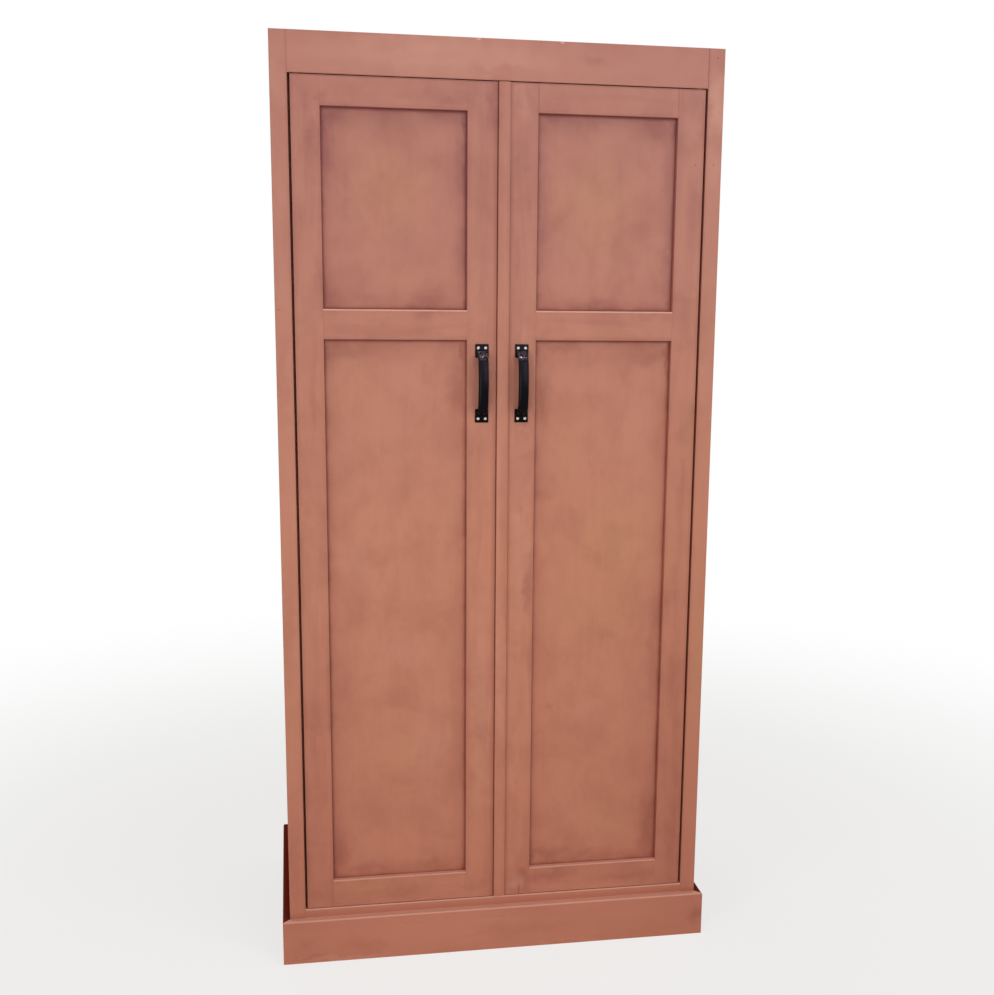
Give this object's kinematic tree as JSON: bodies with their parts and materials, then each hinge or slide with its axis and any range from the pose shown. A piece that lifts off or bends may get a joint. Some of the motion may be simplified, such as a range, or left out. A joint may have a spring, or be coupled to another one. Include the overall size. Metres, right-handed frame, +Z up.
{
  "type": "two-door cupboard",
  "caption": "Tall painted two-door cupboard with a face frame, recessed-panel doors on pivots, an astragal between them, black arched pulls, a mitred base and inner shelves.",
  "frame": {"origin": "centre of the bounding box on the floor, pulls and base included", "axes": "+X to the viewer's right, +Y from the doors to the back, +Z up; the doors face -Y"},
  "size_m": [0.966, 0.575, 1.981],
  "materials": {
    "painted_wood": "terracotta paint under a darker antiquing glaze, satin",
    "interior_wood": "bare pine, planed",
    "bare_plywood": "bare plywood sheet",
    "black_iron": "black baked enamel, satin",
    "steel": "zinc plated",
    "bronze": "sintered bearing bronze",
    "catch_plastic": "brown moulded"
  },
  "bodies": {
    "case": {"back_panel": "bare_plywood", "base_front_board": "painted_wood", "base_left_board": "painted_wood", "base_right_board": "painted_wood", "deck_board": "interior_wood", "frame_bottom_rail": "painted_wood", "frame_left_stile": "painted_wood", "frame_right_stile": "painted_wood", "frame_top_rail": "painted_wood", "head_sockets": "bronze", "head_stop": "interior_wood", "left_catch_case": "catch_plastic", "left_catch_poles": "steel", "left_shelf_cleat_1": "interior_wood", "left_shelf_cleat_2": "interior_wood", "left_shelf_cleat_3": "interior_wood", "left_shelf_cleat_4": "interior_wood", "left_side_panel": "painted_wood", "right_catch_case": "catch_plastic", "right_catch_poles": "steel", "right_shelf_cleat_1": "interior_wood", "right_shelf_cleat_2": "interior_wood", "right_shelf_cleat_3": "interior_wood", "right_shelf_cleat_4": "interior_wood", "right_side_panel": "painted_wood", "shelf_1": "interior_wood", "shelf_2": "interior_wood", "shelf_3": "interior_wood", "shelf_4": "interior_wood", "sill_sockets": "bronze", "sill_stop": "interior_wood", "top_board": "painted_wood"},
    "left_door": {"left_door_bottom_rail": "painted_wood", "left_door_hinge_stile": "painted_wood", "left_door_lock_stile": "painted_wood", "left_door_lower_panel": "painted_wood", "left_door_middle_rail": "painted_wood", "left_door_pivot_pins": "steel", "left_door_top_rail": "painted_wood", "left_door_upper_panel": "painted_wood", "left_pull": "black_iron", "left_pull_screws": "steel", "left_strike_plate": "steel"},
    "right_door": {"astragal": "painted_wood", "right_door_bottom_rail": "painted_wood", "right_door_hinge_stile": "painted_wood", "right_door_lock_stile": "painted_wood", "right_door_lower_panel": "painted_wood", "right_door_middle_rail": "painted_wood", "right_door_pivot_pins": "steel", "right_door_top_rail": "painted_wood", "right_door_upper_panel": "painted_wood", "right_pull": "black_iron", "right_pull_screws": "steel", "right_strike_plate": "steel"}
  },
  "joints": [
    {"name": "left_door_hinge", "type": "hinge", "parent": "case", "child": "left_door", "pos_m": [-0.4157, -0.2435, 1], "axis": [0, 0, -1], "range_deg": [0, 110]},
    {"name": "right_door_hinge", "type": "hinge", "parent": "case", "child": "right_door", "pos_m": [0.4157, -0.2435, 1], "axis": [0, 0, 1], "range_deg": [0, 110]}
  ]
}
